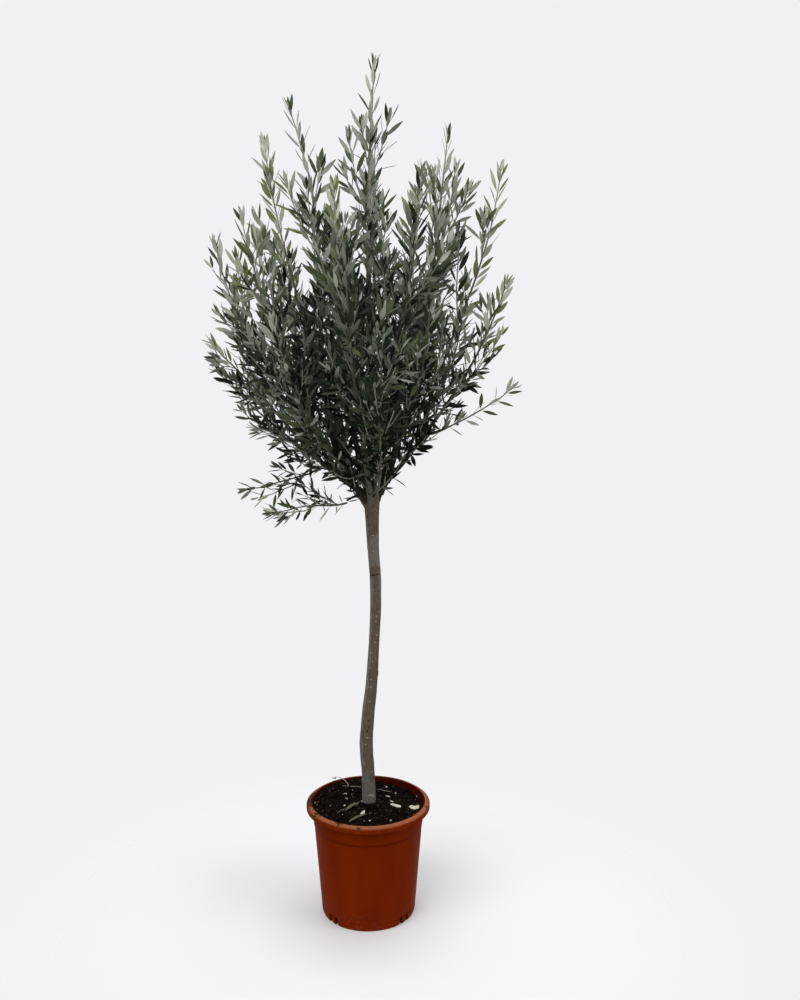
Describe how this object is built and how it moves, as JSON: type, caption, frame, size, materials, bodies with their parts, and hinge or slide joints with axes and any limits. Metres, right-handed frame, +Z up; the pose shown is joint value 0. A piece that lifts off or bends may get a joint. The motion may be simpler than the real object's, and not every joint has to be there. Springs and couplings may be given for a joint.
{
  "type": "potted olive tree",
  "caption": "Young standard olive tree with a clear slim stem and an open upright crown of slender grey-green leaves, growing in a round ribbed-rim nursery pot filled with soil",
  "frame": {"origin": "centre of the pot's flat underside, on the surface the pot stands on", "axes": "+Z is up along the trunk, -Y is the tree's front and +X its right as seen from the front"},
  "size_m": [0.6948, 0.6513, 1.8778],
  "materials": {
    "pot_plastic": "satin",
    "potting_soil": "matte",
    "trunk_bark": "matte",
    "bough_bark": "matte",
    "olive_foliage": "matte"
  },
  "bodies": {
    "root": {"centre_left_bough": "bough_bark", "centre_left_foliage": "olive_foliage", "centre_rear_bough": "bough_bark", "centre_rear_foliage": "olive_foliage", "crown_top_bough": "bough_bark", "crown_top_foliage": "olive_foliage", "front_left_bough": "bough_bark", "front_left_foliage": "olive_foliage", "front_low_bough": "bough_bark", "front_low_foliage": "olive_foliage", "front_right_bough": "bough_bark", "front_right_foliage": "olive_foliage", "front_tuft_bough": "bough_bark", "front_tuft_foliage": "olive_foliage", "front_upper_bough": "bough_bark", "front_upper_foliage": "olive_foliage", "inner_left_foliage": "olive_foliage", "inner_right_foliage": "olive_foliage", "left_flank_bough": "bough_bark", "left_flank_foliage": "olive_foliage", "left_outer_bough": "bough_bark", "left_outer_foliage": "olive_foliage", "left_shoulder_bough": "bough_bark", "left_shoulder_foliage": "olive_foliage", "left_side_bough": "bough_bark", "left_side_foliage": "olive_foliage", "left_skirt_bough": "bough_bark", "left_skirt_foliage": "olive_foliage", "left_spire_bough": "bough_bark", "left_spire_foliage": "olive_foliage", "low_left_bough": "bough_bark", "low_left_foliage": "olive_foliage", "low_left_under_bough": "bough_bark", "low_left_under_foliage": "olive_foliage", "pot": "pot_plastic", "rear_left_bough": "bough_bark", "rear_left_foliage": "olive_foliage", "rear_low_bough": "bough_bark", "rear_low_foliage": "olive_foliage", "rear_right_bough": "bough_bark", "rear_right_foliage": "olive_foliage", "rear_top_bough": "bough_bark", "rear_top_foliage": "olive_foliage", "right_inner_bough": "bough_bark", "right_inner_foliage": "olive_foliage", "right_low_bough": "bough_bark", "right_low_foliage": "olive_foliage", "right_middle_bough": "bough_bark", "right_middle_foliage": "olive_foliage", "right_rear_shoulder_bough": "bough_bark", "right_rear_shoulder_foliage": "olive_foliage", "right_shoulder_bough": "bough_bark", "right_shoulder_foliage": "olive_foliage", "right_side_bough": "bough_bark", "right_side_foliage": "olive_foliage", "right_spire_bough": "bough_bark", "right_spire_foliage": "olive_foliage", "soil": "potting_soil", "trunk": "trunk_bark"}
  },
  "joints": []
}
